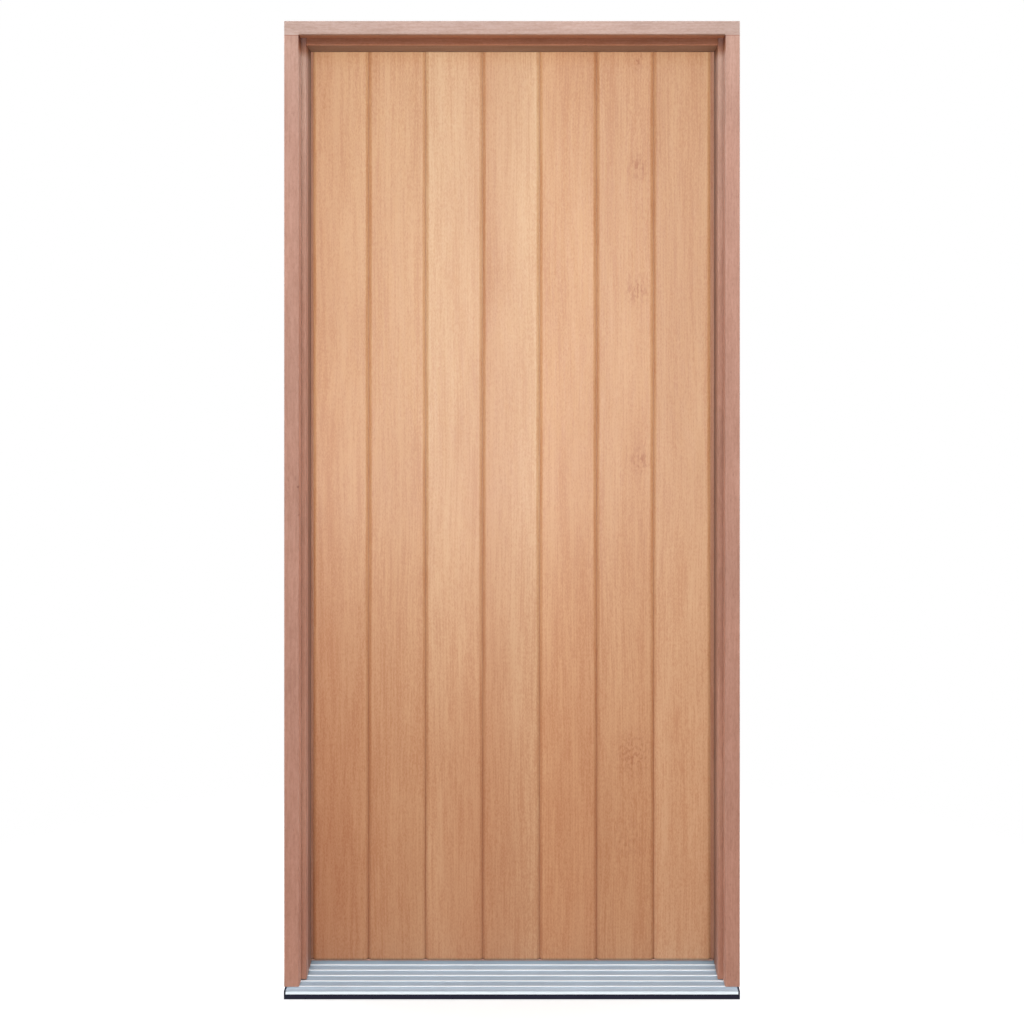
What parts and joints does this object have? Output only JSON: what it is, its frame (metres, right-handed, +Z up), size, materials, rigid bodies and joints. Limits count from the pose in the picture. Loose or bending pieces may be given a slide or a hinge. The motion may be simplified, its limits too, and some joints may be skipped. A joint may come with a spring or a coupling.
{
  "type": "prehung plank door",
  "caption": "Prehung exterior door: a leaf of vertical V-jointed boards on butt hinges in a double-rabbeted hardwood frame with bulb seals and a ribbed metal sill.",
  "frame": {"origin": "on the underside of the sill at mid width, in the plane of the frame's outside face", "axes": "+X to the right seen from outside, +Y inwards through the wall, +Z up"},
  "size_m": [0.984, 0.1635, 2.1065],
  "materials": {
    "frame_wood": "fine sanded, satin",
    "leaf_wood": "fine sanded, satin",
    "core_wood": "planed",
    "sill_metal": "extruded, anodised",
    "sill_base": "moulded",
    "seal": "foam bulb in a skin",
    "sweep": "extruded",
    "hinge": "satin plated",
    "screw": "plated"
  },
  "bodies": {
    "frame": {"hinge_jamb": "frame_wood", "latch_jamb": "frame_wood", "head_jamb": "frame_wood", "sill_cap": "frame_wood", "sill_base": "sill_base", "sill_deck": "sill_metal", "hinge_side_seal": "seal", "latch_side_seal": "seal", "head_seal": "seal", "head_screws": "screw", "sill_screws": "screw", "cap_screws": "screw", "hinge_jamb_screws": "screw", "top_hinge_jamb_plate": "hinge", "top_hinge_pin": "hinge", "middle_hinge_jamb_plate": "hinge", "middle_hinge_pin": "hinge", "bottom_hinge_jamb_plate": "hinge", "bottom_hinge_pin": "hinge"},
    "door_leaf": {"hinge_stile": "core_wood", "latch_stile": "core_wood", "top_rail": "core_wood", "bottom_rail": "core_wood", "core_infill": "core_wood", "hinge_edge_strip": "leaf_wood", "latch_edge_strip": "leaf_wood", "front_board_1": "leaf_wood", "front_board_2": "leaf_wood", "front_board_3": "leaf_wood", "front_board_4": "leaf_wood", "front_board_5": "leaf_wood", "front_board_6": "leaf_wood", "front_board_7": "leaf_wood", "back_board_1": "leaf_wood", "back_board_2": "leaf_wood", "back_board_3": "leaf_wood", "back_board_4": "leaf_wood", "back_board_5": "leaf_wood", "back_board_6": "leaf_wood", "back_board_7": "leaf_wood", "door_sweep": "sweep", "hinge_leaf_screws": "screw", "top_hinge_leaf_plate": "hinge", "middle_hinge_leaf_plate": "hinge", "bottom_hinge_leaf_plate": "hinge"}
  },
  "joints": [
    {"name": "door_swing", "type": "hinge", "parent": "frame", "child": "door_leaf", "pos_m": [-0.4585, 0.1415, 1.05], "axis": [0, 0, 1], "range_deg": [0, 180]}
  ]
}
